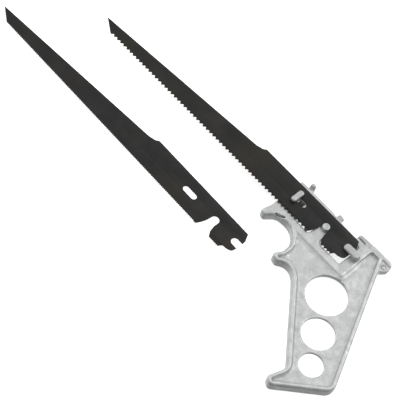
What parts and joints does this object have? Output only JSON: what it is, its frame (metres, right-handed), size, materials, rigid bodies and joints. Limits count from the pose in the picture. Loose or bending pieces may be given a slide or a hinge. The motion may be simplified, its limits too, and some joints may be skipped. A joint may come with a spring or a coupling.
{
  "type": "drywall saw",
  "caption": "Pistol-grip drywall saw: cast aluminium handle with side and top blade lugs, a coarse blade locked on the side lugs and a loose fine blade.",
  "frame": {"origin": "bottom centre of the bounding box, on the surface that the handle and the spare blade lie on", "axes": "+X along the blades from the tips to the grip, +Y towards the blades' backs, +Z away from the surface, through the handle's thickness"},
  "size_m": [0.3497, 0.129, 0.0132],
  "materials": {
    "cast_aluminium": "as cast, tumbled",
    "blackened_steel": "black oxide, satin"
  },
  "bodies": {
    "handle": {"handle_casting": "cast_aluminium", "side_front_lug": "cast_aluminium", "side_middle_post": "cast_aluminium", "side_rear_hook": "cast_aluminium", "top_front_lug": "cast_aluminium", "top_middle_post": "cast_aluminium", "top_rear_hook": "cast_aluminium"},
    "mounted_blade": {"coarse_blade": "blackened_steel"},
    "spare_blade": {"fine_blade": "blackened_steel"}
  },
  "joints": [
    {"name": "blade_turn", "type": "hinge", "parent": "handle", "child": "mounted_blade", "pos_m": [0.06067, 0.04573, 0.0094], "axis": [0, 0, 1], "range_deg": [0, 90]},
    {"name": "spare_lift", "type": "slide", "parent": "handle", "child": "spare_blade", "axis": [0, 0, 1], "range_m": [0, 0.1]}
  ]
}
